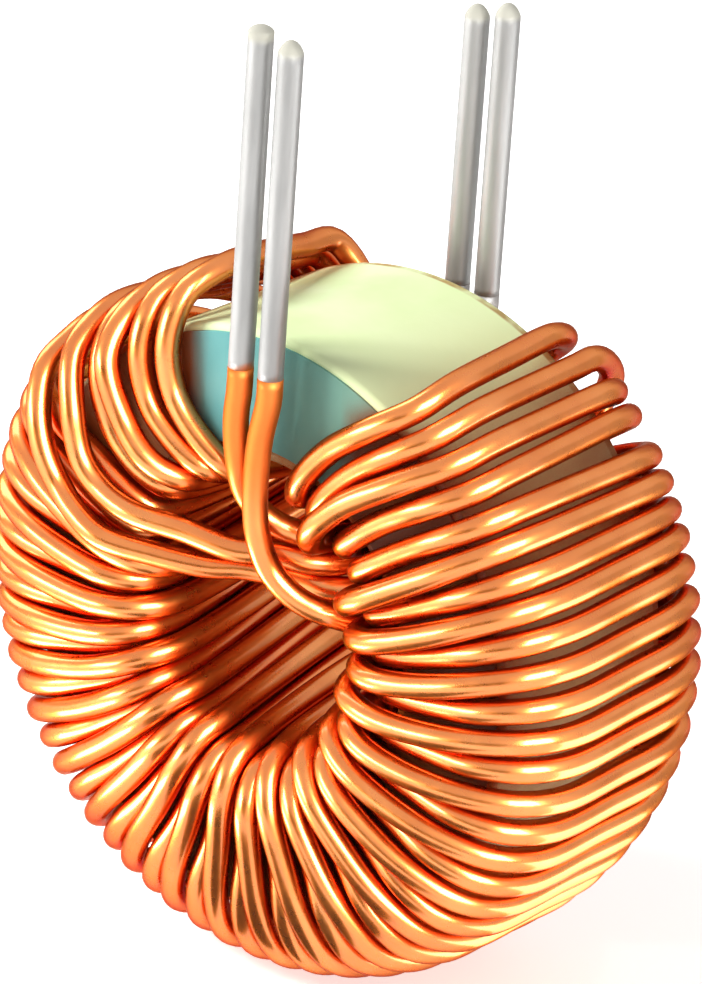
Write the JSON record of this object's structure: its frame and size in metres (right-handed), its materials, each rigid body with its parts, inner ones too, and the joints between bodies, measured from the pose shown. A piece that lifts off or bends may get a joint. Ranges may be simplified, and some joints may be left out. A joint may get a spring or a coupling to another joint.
{
  "type": "toroidal inductor",
  "caption": "Ring core with a coloured coat, closely wound with enamelled copper wire whose tinned straight ends solder into a circuit board.",
  "frame": {"origin": "centre of the ring, on its axis and midway between its two faces; the centroid of all the solids lies within 0.5 mm of it", "axes": "+Z the way the wire ends point; +Y along the ring's axis from the coated face to the plain back; +X to the right seen from the coated face"},
  "size_m": [0.033, 0.0171, 0.044],
  "materials": {
    "core_paint": "satin pale yellow-green epoxy paint on pressed iron powder",
    "face_paint": "satin blue epoxy paint",
    "enamelled_copper": "glossy clear enamel over copper",
    "tinned_copper": "satin tin over copper"
  },
  "bodies": {
    "root": {"core_ring": "core_paint", "face_coat": "face_paint", "strand_a": "enamelled_copper", "strand_b": "enamelled_copper", "tinned_end_front_left": "tinned_copper", "tinned_end_front_right": "tinned_copper", "tinned_end_back_left": "tinned_copper", "tinned_end_back_right": "tinned_copper"}
  },
  "joints": []
}
